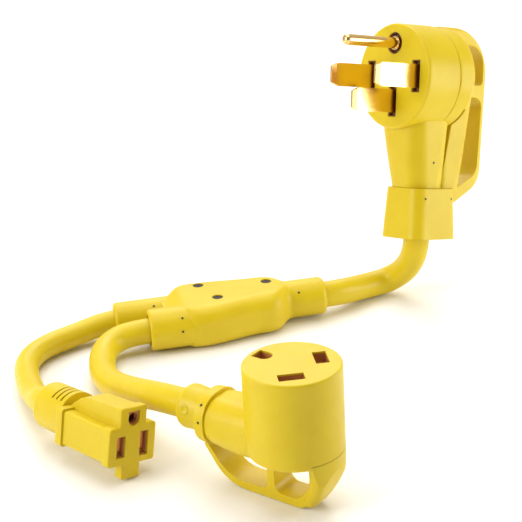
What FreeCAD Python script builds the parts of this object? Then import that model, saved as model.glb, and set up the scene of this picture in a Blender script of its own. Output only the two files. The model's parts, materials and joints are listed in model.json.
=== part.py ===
"""Y splitter adapter for caravans: one 50 A four-blade plug feeds a 30 A outlet and a 15 A outlet.

Millimetres, +Z up. The adapter lies on the plane Z = 0 and the origin is under the middle of its box.
Every connector is built in a frame of its own, then placed:
  plug and 30 A outlet: local Z leaves the face, local X runs down the neck towards the cord
  15 A outlet:          local Z leaves the face, local Y points at the earth hole
  splitter:             local X points at the main cord, local Z up
"""
import FreeCAD, Part
import math
import os

V = FreeCAD.Vector

# ---------------------------------------------------------------- driving dimensions
# cords: outside diameters of three flexible cords
MAIN_CORD_DIA = 14.0
CORD30_DIA = 13.2
CORD15_DIA = 12.0
WIRE_DIA = 3.0               # insulated conductor
CORD_SEAT = 11.0             # how far a cord's end sits inside its sleeve

# four-blade 50 A plug
PLUG_FACE_R = 27.3
PLUG_SHELL_DEPTH = 22.2      # face to the seam with the handle
PLUG_BACK_DEPTH = 34.6       # face to the back of the handle's base plate
PLUG_GRIP_DEPTH = 62.7       # face to the outside of the finger grip
PLUG_BLADE_PITCH = 34.0      # between the two hot blades
PLUG_BLADE_WIDTH = 12.07
PLUG_BLADE_THICK = 2.1
PLUG_BLADE_REACH = 28.5      # hot and neutral blades beyond the face
PLUG_PIN_DIA = 5.6
PLUG_PIN_REACH = 34.5
PLUG_PIN_UP = 17.1           # earth pin above the face's centre
PLUG_NEUTRAL_DOWN = 12.7     # neutral blade below the face's centre
PLUG_COLLAR_START = 58.0     # along the neck, from the face's centre line
PLUG_COLLAR_END = 84.7
PLUG_COLLAR_HALF_WIDTH = 13.6
PLUG_COLLAR_FRONT = 8.0      # depth of the collar's front face
PLUG_COLLAR_BACK = 37.0
PLUG_COLLAR_FLARE = 1.3      # each side, from the neck to the cord
PLUG_COLLAR_CORNER = 6.5

# three-slot 30 A outlet
OUT30_FACE_R = 20.5
OUT30_BODY_DEPTH = 39.3
OUT30_GRIP_DEPTH = 63.0
OUT30_GRIP_HALF_WIDTH = 6.2
OUT30_STRAP = 4.4            # thickness of the grip's strap
OUT30_STRAP_END = 45.4       # where the strap meets the collar
OUT30_SLOT_LENGTH = 10.6
OUT30_SLOT_WIDTH = 5.6
OUT30_SLOT_X = -7.0
OUT30_SLOT_Y = 10.2
OUT30_EARTH_X = 13.6
OUT30_EARTH_WIDTH = 6.6
OUT30_EARTH_LENGTH = 7.8
OUT30_NECK_DEPTH = 34.0      # depth of the neck's axis
OUT30_COLLAR_START = 38.8
OUT30_COLLAR_END = 43.8
OUT30_SLEEVE_END = 57.3

# three-slot 15 A outlet
OUT15_HALF_WIDTH = 12.9
OUT15_TOP = 8.8              # main block above the slots' centre line
OUT15_BOTTOM = -8.5
OUT15_LENGTH = 37.6
OUT15_FLANGE = 4.6
OUT15_WAIST_INSET = 0.9
OUT15_TAB_TOP = 17.2
OUT15_TAB_HALF_WIDTH = 7.2
OUT15_KEY_BOTTOM = -15.0
OUT15_KEY_HALF_WIDTH = 4.9
OUT15_SLOT_PITCH = 12.7
OUT15_EARTH_UP = 11.9
OUT15_RELIEF_END = 58.0

# splitter
SPLIT_THICK = 22.4
SPLIT_AXIS_Z = 11.2
SPLIT_MAIN_END = 49.2
SPLIT_FRONT_END = -47.5      # mouth of the 30 A sleeve
SPLIT_REAR_END = -63.0       # mouth of the 15 A sleeve
SPLIT_MAIN_Y = 3.6
SPLIT_FRONT_Y = -11.6
SPLIT_REAR_Y = 10.6
SLEEVE_R = 10.7              # 30 A sleeve
MAIN_SLEEVE_R = 10.0
REAR_SLEEVE_R = 9.3
SPLIT_REAR_Z = -1.8          # the 15 A sleeve sits lower

# ---------------------------------------------------------------- layout on the standing plane
# the middle of the box, taken off every place below
MIDDLE = V(10.7, 616.9, 0)


def unit(x, y, z):
    """A unit vector."""
    return V(x, y, z).normalize()


def placement(origin, x_axis, z_axis):
    """The placement of a local frame with this origin, X direction and Z direction."""
    z_dir = V(z_axis).normalize()
    y_dir = z_dir.cross(x_axis).normalize()
    x_dir = y_dir.cross(z_dir)
    matrix = FreeCAD.Matrix(
        x_dir.x, y_dir.x, z_dir.x, origin.x - MIDDLE.x,
        x_dir.y, y_dir.y, z_dir.y, origin.y - MIDDLE.y,
        x_dir.z, y_dir.z, z_dir.z, origin.z - MIDDLE.z,
        0, 0, 0, 1)
    return FreeCAD.Placement(matrix)


OUT30_TURN = math.radians(142)      # the way the 30 A outlet's neck points
SPLIT_TURN = math.radians(11)

PLUG_AT = placement(V(74.0, 709.6, 123.6), V(-0.086, -0.275, -0.958), V(-0.798, -0.556, 0.232))
OUT30_AT = placement(V(10.0, 502.7, OUT30_GRIP_DEPTH),
                     V(math.cos(OUT30_TURN), math.sin(OUT30_TURN), 0), V(0, 0, 1))
OUT15_AT = placement(V(-59.4, 528.1, 15.75), V(0.706, 0.672, -0.222), V(0.695, -0.718, 0.035))
SPLIT_AT = placement(V(-15.0, 676.0, SPLIT_AXIS_Z),
                     V(math.cos(SPLIT_TURN), math.sin(SPLIT_TURN), 0), V(0, 0, 1))


# ---------------------------------------------------------------- shape helpers
def block(x0, x1, y0, y1, z0, z1):
    """A box between two values on each axis."""
    return Part.makeBox(x1 - x0, y1 - y0, z1 - z0, V(x0, y0, z0))


def rod(start, end, radius):
    """A cylinder from one point to another."""
    run = end - start
    return Part.makeCylinder(radius, run.Length, start, run)


def rounded_wire(corners, lift):
    """A closed outline of (a, b, corner radius), turned into points by lift(a, b)."""
    edges = []
    ends = []
    count = len(corners)
    for i in range(count):
        a, b, radius = corners[i]
        here = V(a, b, 0)
        back = (V(*corners[i - 1][:2], 0) - here).normalize()
        ahead = (V(*corners[(i + 1) % count][:2], 0) - here).normalize()
        if radius == 0:
            ends.append((here, here, None))
            continue
        half = back.getAngle(ahead) / 2
        reach = radius / math.tan(half)
        middle = (back + ahead).normalize()
        ends.append((here + back * reach, here + ahead * reach,
                     here + middle * (radius / math.sin(half) - radius)))
    for i in range(count):
        start, end, arc_middle = ends[i]
        following = ends[(i + 1) % count][0]
        if arc_middle is not None:
            edges.append(Part.Arc(lift(start.x, start.y), lift(arc_middle.x, arc_middle.y),
                                  lift(end.x, end.y)).toShape())
        if (following - end).Length > 1e-6:
            edges.append(Part.LineSegment(lift(end.x, end.y), lift(following.x, following.y)).toShape())
    return Part.Wire(edges)


def side_plate(corners, half_width):
    """An outline in the local XZ plane, thickened evenly to both sides of it."""
    wire = rounded_wire(corners, lambda a, b: V(a, -half_width, b))
    return Part.Face(wire).extrude(V(0, 2 * half_width, 0))


def section_x(x, half_width, z_front, z_back, radius, y=0):
    """A rounded rectangle across the local X axis."""
    low, high = y - half_width, y + half_width
    corners = [(low, z_back, radius), (high, z_back, radius),
               (high, z_front, radius), (low, z_front, radius)]
    return rounded_wire(corners, lambda a, b: V(x, a, b))


def section_z(z, x0, x1, y0, y1, radius):
    """A rounded rectangle across the local Z axis."""
    corners = [(x0, y0, radius), (x1, y0, radius), (x1, y1, radius), (x0, y1, radius)]
    return rounded_wire(corners, lambda a, b: V(a, b, z))


def loft(sections):
    """A smooth solid through closed sections."""
    return Part.makeLoft(sections, True, False)


def revolved(corners, lift, centre, axis):
    """An outline turned all the way about an axis."""
    return Part.Face(rounded_wire(corners, lift)).revolve(centre, axis, 360)


def softened(shape, radius, wanted):
    """Rounds the edges that wanted(edge) picks."""
    edges = [edge for edge in shape.Edges if wanted(edge)]
    return shape.makeFillet(radius, edges)


def along_plate(half_width):
    """Picks the outline edges of a plate that side_plate made."""
    def wanted(edge):
        box = edge.BoundBox
        return box.YLength < 0.01 and abs(abs(box.YMin) - half_width) < 0.01
    return wanted


def circle_at(z, radius):
    """Picks full circles of one radius, across the local Z axis at one height."""
    def wanted(edge):
        curve = edge.Curve
        return (isinstance(curve, Part.Circle) and abs(curve.Center.z - z) < 0.01
                and abs(curve.Radius - radius) < 0.01)
    return wanted


def route_bends(points):
    """The run lengths, turns and arc radii of a route."""
    runs = [(b - a) for a, b in zip(points, points[1:])]
    bends = []
    for before, after in zip(runs, runs[1:]):
        turn = before.getAngle(after)
        radius = 0.45 * min(before.Length, after.Length) / math.tan(turn / 2)
        bends.append((turn, radius))
    return runs, bends


def tube(name, points, diameter):
    """A round cord or wire along straight runs joined by tangent arcs."""
    runs, bends = route_bends(points)
    edges = []
    start = points[0]
    for i, (turn, radius) in enumerate(bends):
        corner = points[i + 1]
        into = runs[i].normalize()
        out = runs[i + 1].normalize()
        reach = radius * math.tan(turn / 2)
        first = corner - into * reach
        last = corner + out * reach
        middle = corner + (out - into).normalize() * (radius / math.cos(turn / 2) - radius)
        edges.append(Part.LineSegment(start, first).toShape())
        edges.append(Part.Arc(first, middle, last).toShape())
        start = last
    edges.append(Part.LineSegment(start, points[-1]).toShape())
    path = Part.Wire(edges)
    heading = (points[1] - points[0]).normalize()
    profile = Part.Wire([Part.Circle(points[0], heading, diameter / 2).toShape()])
    solid = path.makePipeShell([profile], True, False)
    expected = math.pi * diameter ** 2 / 4 * path.Length
    print("%s: length %.1f, volume / expected %.4f, lowest %.2f" % (
        name, path.Length, solid.Volume / expected, solid.BoundBox.ZMin))
    print("   arc radii", [round(radius, 1) for turn, radius in bends],
          "turns", [round(math.degrees(turn)) for turn, radius in bends])
    return solid


def joined(shapes):
    """One solid from overlapping shapes."""
    return shapes[0].fuse(shapes[1:]).removeSplitter()


def without(shape, others):
    """A shape with the room that other pieces take cut out of it."""
    return shape.cut(Part.makeCompound(others))


def save(name, shape, at=None):
    """Places a finished piece and writes it as one node."""
    placed = shape.copy()
    if at is not None:
        placed.Placement = at.multiply(placed.Placement)
    placed.exportStep("parts/%s.step" % name)
    box = placed.optimalBoundingBox(False, False)
    print("%-28s solids %d valid %s volume %9.1f  x %.1f..%.1f y %.1f..%.1f z %.1f..%.1f" % (
        name, len(placed.Solids), placed.isValid(), placed.Volume,
        box.XMin, box.XMax, box.YMin, box.YMax, box.ZMin, box.ZMax))
    return placed


def cord_lay(count, radius, first_angle=90.0):
    """The places of a cord's conductors across it, evenly round its middle."""
    return [(radius * math.cos(math.radians(first_angle + i * 360.0 / count)),
             radius * math.sin(math.radians(first_angle + i * 360.0 / count))) for i in range(count)]


THREE_LAY = cord_lay(3, 2.3)        # first one up, then the two lower ones
FOUR_LAY = cord_lay(4, 2.9, 45.0)


# ---------------------------------------------------------------- four-blade plug
PLUG_CORD_DEPTH = 22.0
SKIN = 0.8                    # yellow moulding in front of the brown carriers
PLUG_POCKET_DEPTH = 3.0       # the carrier's recesses round the blades
PLUG_CARRIER_BACK = 13.5
PLUG_CARRIER_R = 23.6
PLUG_WINDOW_LENGTH = 16.4
PLUG_WINDOW_WIDTH = 5.8
PLUG_PIN_WINDOW_R = 5.6
PLUG_CRIMP_DEPTH = 17.4
CRIMP_R = 2.7
CRIMP_LENGTH = 8.0
GRIP_HALF_WIDTH = 6.5
PLUG_CORD_END = PLUG_COLLAR_END - CORD_SEAT
SEAM_ROUNDING = 0.9
GRIP_ROUNDING = 1.3


def blade(x, y, reach):
    """A flat blade with a bevelled tip, its tail inside and the crimp barrel for its wire."""
    half = PLUG_BLADE_WIDTH / 2
    tip = half - 1.7
    bevel = 5.0
    outline = [(x - half, -PLUG_CRIMP_DEPTH, 0), (x + half, -PLUG_CRIMP_DEPTH, 0),
               (x + half, reach - bevel, 0), (x + tip, reach - 0.6, 0.5),
               (x - tip, reach - 0.6, 0.5), (x - half, reach - bevel, 0)]
    flat = side_plate(outline, PLUG_BLADE_THICK / 2)
    edge_cut = 0.5
    for side in (-1, 1):
        wedge = Part.Face(Part.makePolygon([
            V(x - half - 1, side * (PLUG_BLADE_THICK / 2 - edge_cut), reach),
            V(x - half - 1, side * (PLUG_BLADE_THICK / 2 + 1), reach),
            V(x - half - 1, side * (PLUG_BLADE_THICK / 2 + 1), reach - 3.5),
            V(x - half - 1, side * PLUG_BLADE_THICK / 2, reach - 3.5),
            V(x - half - 1, side * (PLUG_BLADE_THICK / 2 - edge_cut), reach)]))
        flat = flat.cut(wedge.extrude(V(2 * half + 2, 0, 0)))
    flat.translate(V(0, y, 0))
    barrel = rod(V(x, y, -PLUG_CRIMP_DEPTH), V(x + CRIMP_LENGTH, y, -PLUG_CRIMP_DEPTH), CRIMP_R)
    return joined([flat, barrel])


def earth_pin():
    """The long round earth pin with a domed tip, its thicker tail behind the face and its crimp barrel."""
    radius = PLUG_PIN_DIA / 2
    x = -PLUG_PIN_UP
    shank = Part.makeCylinder(radius, PLUG_PIN_REACH, V(x, 0, 0))
    shank = softened(shank, 2.2, circle_at(PLUG_PIN_REACH, radius))
    tail = Part.makeCylinder(radius + 0.8, PLUG_CRIMP_DEPTH, V(x, 0, -PLUG_CRIMP_DEPTH))
    barrel = rod(V(x, 0, -PLUG_CRIMP_DEPTH), V(x + CRIMP_LENGTH, 0, -PLUG_CRIMP_DEPTH), CRIMP_R)
    return joined([shank, tail, barrel])


def plug_wires():
    """Four conductors from the end of the cord to the four crimp barrels."""
    lay = [V(PLUG_CORD_END, a, -PLUG_CORD_DEPTH + b) for a, b in FOUR_LAY]
    depth = -PLUG_CRIMP_DEPTH
    hot_y = PLUG_BLADE_PITCH / 2
    ends = {
        "red": [lay[0], V(52, 4.0, -19.5), V(30, 9.0, -18.2), V(CRIMP_LENGTH, hot_y, depth)],
        "black": [lay[1], V(52, -4.0, -19.5), V(30, -9.0, -18.2), V(CRIMP_LENGTH, -hot_y, depth)],
        "white": [lay[2], V(52, -1.9, -24.4), V(34, -1.0, -20.0),
                  V(PLUG_NEUTRAL_DOWN + CRIMP_LENGTH, 0, depth)],
        "green": [lay[3], V(52, 2.6, -25.0), V(30, 6.6, -21.5), V(12, 7.2, depth),
                  V(-1.5, 3.2, depth), V(CRIMP_LENGTH - PLUG_PIN_UP, 0, depth)],
    }
    return {name: tube("plug %s wire" % name, points, WIRE_DIA) for name, points in ends.items()}


def plug_face_holes(less, depth):
    """The windows round the blades and the pin, smaller all round by less."""
    length, width = PLUG_WINDOW_LENGTH / 2 - less, PLUG_WINDOW_WIDTH / 2 - less
    hot_y = PLUG_BLADE_PITCH / 2
    holes = [block(x - length, x + length, y - width, y + width, -depth, 1)
             for x, y in ((0, -hot_y), (0, hot_y), (PLUG_NEUTRAL_DOWN, 0))]
    holes.append(Part.makeCylinder(PLUG_PIN_WINDOW_R - less, depth + 1, V(-PLUG_PIN_UP, 0, -depth)))
    return holes


def plug_slits():
    """A narrow V between the neck and the handle's spine, on both sides."""
    slits = []
    for side in (-1, 1):
        outline = rounded_wire([(16, -30.6, 0), (16, -34.0, 0), (53, -28.3, 0)],
                               lambda a, b: V(a, side * 8.5, b))
        slits.append(Part.Face(outline).extrude(V(0, side * 22, 0)))
    return slits


def plug_neck():
    """The tapered neck in front of the seam."""
    return loft([section_x(8, 17.0, -2.0, -31, 9.0),
                 section_x(27, 15.0, -3.5, -31, 9.0),
                 section_x(PLUG_COLLAR_START, 12.2, -8.6, -31, 9.0)])


def build_plug():
    """The plug's pieces in its own frame."""
    hot_y = PLUG_BLADE_PITCH / 2
    pieces = {
        "plug_hot_blade_left": blade(0, -hot_y, PLUG_BLADE_REACH),
        "plug_hot_blade_right": blade(0, hot_y, PLUG_BLADE_REACH),
        "plug_neutral_blade": blade(PLUG_NEUTRAL_DOWN, 0, PLUG_BLADE_REACH),
        "plug_earth_pin": earth_pin(),
    }
    metal = list(pieces.values())
    wires = plug_wires()
    carrier = Part.makeCylinder(PLUG_CARRIER_R, PLUG_CARRIER_BACK - SKIN, V(0, 0, -PLUG_CARRIER_BACK))
    pockets = plug_face_holes(0.5, PLUG_POCKET_DEPTH)
    pieces["plug_blade_carrier"] = without(carrier, metal + pockets)

    head = Part.makeCylinder(PLUG_FACE_R, PLUG_SHELL_DEPTH, V(0, 0, -PLUG_SHELL_DEPTH))
    head = softened(head, 1.2, circle_at(0, PLUG_FACE_R))
    head = softened(head, SEAM_ROUNDING, circle_at(-PLUG_SHELL_DEPTH, PLUG_FACE_R))
    shell = joined([head, plug_neck()])
    inside = metal + list(wires.values()) + [carrier]
    slits = plug_slits()
    pieces["plug_body"] = without(shell, inside + plug_face_holes(0, SKIN) + slits)

    base_r = PLUG_FACE_R - 0.2
    base = Part.makeCylinder(base_r, PLUG_BACK_DEPTH - PLUG_SHELL_DEPTH, V(0, 0, -PLUG_BACK_DEPTH))
    base = softened(base, 3.5, circle_at(-PLUG_BACK_DEPTH, base_r))
    base = softened(base, SEAM_ROUNDING, circle_at(-PLUG_SHELL_DEPTH, base_r))
    spine = loft([section_x(6, 12.0, -26, -49.0, 5.0),
                  section_x(24, 11.0, -26, -47.6, 5.0),
                  section_x(PLUG_COLLAR_START + 2, 10.5, -26, -42.0, 5.0)])
    outside = -PLUG_GRIP_DEPTH
    inside_face = outside + 3.3
    far_end = -PLUG_FACE_R + 0.3
    grip = side_plate([(far_end, -26, 0), (far_end, outside, 24.0),
                       (55.5, outside + 2.0, 14.0), (67.5, -40, 3.0), (67.5, -26, 0)], GRIP_HALF_WIDTH)
    grip = softened(grip, GRIP_ROUNDING, along_plate(GRIP_HALF_WIDTH))
    upper_gap = side_plate([(-18.5, -30, 0), (-18.5, inside_face, 11.0), (2.6, inside_face, 2.5),
                            (2.6, -30, 0)], GRIP_HALF_WIDTH + 1)
    lower_gap = side_plate([(9.4, -38, 0), (9.4, inside_face, 5.0), (50.5, outside + 5.1, 9.0),
                            (57.5, -44.0, 3.0), (57.5, -38, 0)], GRIP_HALF_WIDTH + 1)
    flare = PLUG_COLLAR_FLARE
    collar_block = loft([section_x(PLUG_COLLAR_START, PLUG_COLLAR_HALF_WIDTH, -PLUG_COLLAR_FRONT,
                                   -PLUG_COLLAR_BACK, PLUG_COLLAR_CORNER),
                         section_x(PLUG_COLLAR_END, PLUG_COLLAR_HALF_WIDTH + flare,
                                   -PLUG_COLLAR_FRONT + flare, -PLUG_COLLAR_BACK - flare,
                                   PLUG_COLLAR_CORNER)])
    loop = grip.cut(upper_gap).cut(lower_gap)
    handle = joined([base, spine, loop, collar_block])
    cord_bore = rod(V(PLUG_CORD_END, 0, -PLUG_CORD_DEPTH), V(PLUG_COLLAR_END + 1, 0, -PLUG_CORD_DEPTH),
                    MAIN_CORD_DIA / 2)
    pieces["plug_handle"] = without(handle, [shell, cord_bore] + list(wires.values()) + slits)
    for colour, wire in wires.items():
        pieces["plug_%s_wire" % colour] = wire
    return pieces


# ---------------------------------------------------------------- 30 A outlet
OUT30_POCKET_DEPTH = 4.6      # the recesses behind the face, down to the contacts
OUT30_CARRIER_BACK = 24.0
OUT30_CORD_END = OUT30_SLEEVE_END - CORD_SEAT
OUT30_SLOT_ANGLE = 45.0
BLADE_GAP = 1.9               # between the two leaves of a contact


def turned_block(x, y, angle, length, width, z0, z1):
    """A box turned about the local Z axis, with its middle at x, y."""
    bar = block(-length / 2, length / 2, -width / 2, width / 2, z0, z1)
    bar.rotate(V(0, 0, 0), V(0, 0, 1), angle)
    bar.translate(V(x, y, 0))
    return bar


def leaf_contact(x, y, angle, length, width, front, back, barrel):
    """Two spring leaves joined at the back, and the barrel that grips the wire."""
    body = turned_block(x, y, angle, length, width, back, front)
    gap = turned_block(x, y, angle, length + 1, BLADE_GAP, back + 2.5, front + 1)
    flare = turned_block(x, y, angle, length + 1, BLADE_GAP + 1.4, front - 1.0, front + 1)
    return joined([body.cut(gap).cut(flare), barrel])


def earth_socket(x, y, radius, bore, front, back, barrel):
    """A round contact for the earth pin, bored from the front."""
    sleeve = Part.makeCylinder(radius, front - back, V(x, y, back))
    hole = Part.makeCylinder(bore, front - back - 2.5, V(x, y, back + 2.5))
    return joined([sleeve.cut(hole), barrel])


def out30_grip():
    """The finger grip: a thin strap from the collar to the far side of the head, with one brace."""
    outside = -OUT30_GRIP_DEPTH
    strap = side_plate([(-18.8, -37.0, 0), (-17.2, -48.5, 14.0), (-7.5, outside, 8.0),
                        (33.0, outside, 20.0), (OUT30_STRAP_END, -46.0, 5.0), (OUT30_COLLAR_END, -43.0, 0),
                        (OUT30_COLLAR_START, -37.0, 0)],
                       OUT30_GRIP_HALF_WIDTH)
    strap = softened(strap, GRIP_ROUNDING, along_plate(OUT30_GRIP_HALF_WIDTH))
    inside = outside + OUT30_STRAP
    top = -OUT30_BODY_DEPTH + 6
    brace_start, brace_end = 7.4, 11.0
    right_gap = side_plate([(-12.0, top, 0), (-12.0, -49.5, 6.0), (-5.0, inside, 6.0),
                            (brace_start, inside, 4.0), (brace_start, top, 0)], GRIP_HALF_WIDTH + 1)
    left_gap = side_plate([(brace_end, top, 0), (brace_end, inside, 3.0), (31.3, inside, 16.0),
                           (41.8, -46.0, 3.0), (41.8, top, 0)], GRIP_HALF_WIDTH + 1)
    post = loft([section_z(-36.0, -21.5, -12.6, -12.5, 12.5, 3.4),
                 section_z(-50.0, -18.0, -11.0, -7.6, 9.2, 3.0),
                 section_z(-60.5, -11.5, -5.6, -5.4, 6.2, 2.4)])
    return joined([strap.cut(right_gap).cut(left_gap), post])


def out30_wires():
    """Three conductors from the end of the cord to the contact barrels."""
    lay = [V(OUT30_CORD_END, a, -OUT30_NECK_DEPTH + b) for a, b in THREE_LAY]
    depth = -OUT30_NECK_DEPTH
    slot_end = OUT30_SLOT_X + CRIMP_LENGTH
    routes = {
        "green": [lay[0], V(38, 0.4, depth + 2.0), V(OUT30_EARTH_X + CRIMP_LENGTH, 0, depth)],
        "black": [lay[1], V(38, -4.2, depth - 1.0), V(20, 1.4 - OUT30_SLOT_Y, depth),
                  V(slot_end, -OUT30_SLOT_Y, depth)],
        "white": [lay[2], V(38, 4.2, depth - 1.0), V(20, OUT30_SLOT_Y - 1.4, depth),
                  V(slot_end, OUT30_SLOT_Y, depth)],
    }
    return {name: tube("outlet30 %s wire" % name, points, WIRE_DIA) for name, points in routes.items()}


def out30_face_holes():
    """The two slots and the U-shaped earth hole, down to the contacts."""
    bottom = -OUT30_POCKET_DEPTH
    half = OUT30_EARTH_WIDTH / 2
    outer = OUT30_EARTH_X + OUT30_EARTH_LENGTH - half
    earth = joined([Part.makeCylinder(half, 1 - bottom, V(OUT30_EARTH_X, 0, bottom)),
                    block(OUT30_EARTH_X, outer, -half, half, bottom, 1)])
    slots = [turned_block(OUT30_SLOT_X, side * OUT30_SLOT_Y, side * OUT30_SLOT_ANGLE,
                          OUT30_SLOT_LENGTH, OUT30_SLOT_WIDTH, bottom, 1) for side in (-1, 1)]
    return slots + [earth]


def build_outlet30():
    """The round outlet's pieces in its own frame."""
    depth = -OUT30_NECK_DEPTH
    front = -OUT30_POCKET_DEPTH

    def barrel(x, y):
        riser = block(x - 1.2, x + 1.2, y - 2.0, y + 2.0, depth, -OUT30_CARRIER_BACK + 1)
        return joined([riser, rod(V(x - 1.2, y, depth), V(x + CRIMP_LENGTH, y, depth), CRIMP_R)])

    contacts = {
        "outlet30_neutral_contact": leaf_contact(
            OUT30_SLOT_X, OUT30_SLOT_Y, OUT30_SLOT_ANGLE, 8.6, 4.9, front - 0.3, -OUT30_CARRIER_BACK,
            barrel(OUT30_SLOT_X, OUT30_SLOT_Y)),
        "outlet30_line_contact": leaf_contact(
            OUT30_SLOT_X, -OUT30_SLOT_Y, -OUT30_SLOT_ANGLE, 8.6, 4.9, front - 0.3, -OUT30_CARRIER_BACK,
            barrel(OUT30_SLOT_X, -OUT30_SLOT_Y)),
        "outlet30_earth_contact": earth_socket(
            OUT30_EARTH_X, 0, 3.1, 2.35, front - 0.3, -OUT30_CARRIER_BACK, barrel(OUT30_EARTH_X, 0)),
    }
    wires = out30_wires()
    carrier = Part.makeCylinder(OUT30_FACE_R - 1.6, OUT30_CARRIER_BACK - SKIN, V(0, 0, -OUT30_CARRIER_BACK))
    contact_room = [
        turned_block(OUT30_SLOT_X, OUT30_SLOT_Y, OUT30_SLOT_ANGLE, 8.6, 4.9, -OUT30_CARRIER_BACK, 0),
        turned_block(OUT30_SLOT_X, -OUT30_SLOT_Y, -OUT30_SLOT_ANGLE, 8.6, 4.9, -OUT30_CARRIER_BACK, 0),
        Part.makeCylinder(3.1, OUT30_CARRIER_BACK, V(OUT30_EARTH_X, 0, -OUT30_CARRIER_BACK))]
    face_holes = out30_face_holes()
    pieces = dict(contacts)
    taken = contact_room + face_holes + list(contacts.values())
    pieces["outlet30_contact_carrier"] = without(carrier, taken)

    head = Part.makeCylinder(OUT30_FACE_R, OUT30_BODY_DEPTH, V(0, 0, -OUT30_BODY_DEPTH))
    head = softened(head, 1.0, circle_at(0, OUT30_FACE_R))
    head = softened(head, 2.6, circle_at(-OUT30_BODY_DEPTH, OUT30_FACE_R))
    neck = loft([section_x(4, 15.0, -21.0, -43.0, 9.0),
                 section_x(20, 14.0, -22.4, -45.4, 9.5),
                 section_x(OUT30_COLLAR_START, 11.8, -24.2, -45.0, 9.5)])
    shell = joined([head, neck])
    inside = list(contacts.values()) + list(wires.values()) + [carrier]
    pieces["outlet30_body"] = without(shell, inside + face_holes)

    ring = loft([section_x(OUT30_COLLAR_START, 12.6, -22.6, -46.6, 10.5),
                 section_x(OUT30_COLLAR_END, 12.2, -23.0, -46.2, 10.5)])
    keep = Part.makeCylinder(OUT30_FACE_R, OUT30_GRIP_DEPTH + 1, V(0, 0, -OUT30_GRIP_DEPTH - 1)).fuse(
        block(0, OUT30_STRAP_END, -20, 20, -OUT30_GRIP_DEPTH - 1, -30))
    handle = joined([out30_grip().common(keep), ring])
    pieces["outlet30_handle"] = without(handle, [shell] + list(wires.values()))

    sleeve_outline = [(OUT30_COLLAR_END, 0, 0), (OUT30_COLLAR_END, 9.0, 0), (OUT30_SLEEVE_END, 10.2, 3.4),
                      (OUT30_SLEEVE_END, 0, 0)]
    sleeve = revolved(sleeve_outline, lambda a, b: V(a, 0, depth + b), V(0, 0, depth), V(1, 0, 0))
    cord_bore = rod(V(OUT30_CORD_END, 0, depth), V(OUT30_SLEEVE_END + 1, 0, depth), CORD30_DIA / 2)
    pieces["outlet30_strain_relief"] = without(sleeve, [cord_bore] + list(wires.values()))
    for colour, wire in wires.items():
        pieces["outlet30_%s_wire" % colour] = wire
    return pieces


# ---------------------------------------------------------------- 15 A outlet
OUT15_POCKET_DEPTH = 2.6      # face to the front of the contacts
OUT15_EARTH_BACK = -19.0      # back of the earth contact's socket
OUT15_SOCKET_R = 2.9
OUT15_CARRIER_BACK = -23.0
OUT15_BARREL_START = -22.0
OUT15_CORD_END = -OUT15_RELIEF_END + CORD_SEAT
OUT15_TAB_LENGTH = 27.0
OUT15_RELIEF_UP = 2.2         # the cord's axis above the slots' centre line


def out15_shell():
    """The outlet's moulding: a waisted block with an earth tab on top and a key under the face."""
    inset = OUT15_WAIST_INSET
    width, length = OUT15_HALF_WIDTH, OUT15_LENGTH

    def slab(z_back, z_front, less, radius):
        section = section_z(z_back, -width + less, width - less,
                            OUT15_BOTTOM + less, OUT15_TOP - less, radius)
        return Part.Face(section).extrude(V(0, 0, z_front - z_back))

    flange = softened(slab(-OUT15_FLANGE, 0, 0, 1.6), 0.7, lambda edge: abs(edge.BoundBox.ZMax) < 0.01)
    waist = slab(-length + 0.5, -0.5, inset, 1.2)
    rear = softened(slab(-length, -length + OUT15_FLANGE, 0, 1.6), 0.9,
                    lambda edge: abs(edge.BoundBox.ZMin + length) < 0.01 and edge.BoundBox.ZLength < 0.01)
    tab_half = OUT15_TAB_HALF_WIDTH
    tab_front = Part.Face(section_z(-OUT15_FLANGE, -tab_half, tab_half, 0, OUT15_TAB_TOP, 1.2))
    tab_front = softened(tab_front.extrude(V(0, 0, OUT15_FLANGE)), 0.7,
                         lambda edge: edge.BoundBox.ZMin > -0.01)
    tab_side = rounded_wire([(-0.5, 0, 0), (-0.5, OUT15_TAB_TOP - inset, 0),
                             (-OUT15_TAB_LENGTH, OUT15_TAB_TOP - inset - 1.0, 8.0),
                             (-length + 2, OUT15_TOP + 0.5, 4.0), (-length + 1, 0, 0)],
                            lambda a, b: V(-tab_half + inset, b, a))
    tab = Part.Face(tab_side).extrude(V(2 * (tab_half - inset), 0, 0))
    key = Part.Face(section_z(-OUT15_FLANGE, -OUT15_KEY_HALF_WIDTH, OUT15_KEY_HALF_WIDTH,
                              OUT15_KEY_BOTTOM, 0, 1.0)).extrude(V(0, 0, OUT15_FLANGE))
    key = softened(key, 0.7, lambda edge: edge.BoundBox.ZMin > -0.01)
    return joined([flange, waist, rear, tab_front, tab, key])


def out15_relief():
    """The barrel behind the block, and three grooves above and three below to cut out of it."""
    y = OUT15_RELIEF_UP
    barrel = revolved([(-OUT15_LENGTH, 0, 0), (-OUT15_LENGTH, 11.2, 0), (-OUT15_RELIEF_END, 10.9, 2.2),
                       (-OUT15_RELIEF_END, 0, 0)], lambda a, b: V(0, y + b, a), V(0, y, 0), V(0, 0, 1))
    grooves = []
    groove_width = 1.0
    groove_floor = 9.1
    for i in range(3):
        z = -OUT15_LENGTH - 2.6 - 3.0 * i
        ring = Part.makeCylinder(12, groove_width, V(0, y, z - groove_width))
        ring = ring.cut(Part.makeCylinder(groove_floor, groove_width, V(0, y, z - groove_width)))
        for middle in (1, -1):
            half = block(-8.0, 8.0, y + min(0, 14 * middle), y + max(0, 14 * middle), z - 2, z + 1)
            grooves.append(ring.common(half))
    return barrel, grooves


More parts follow.
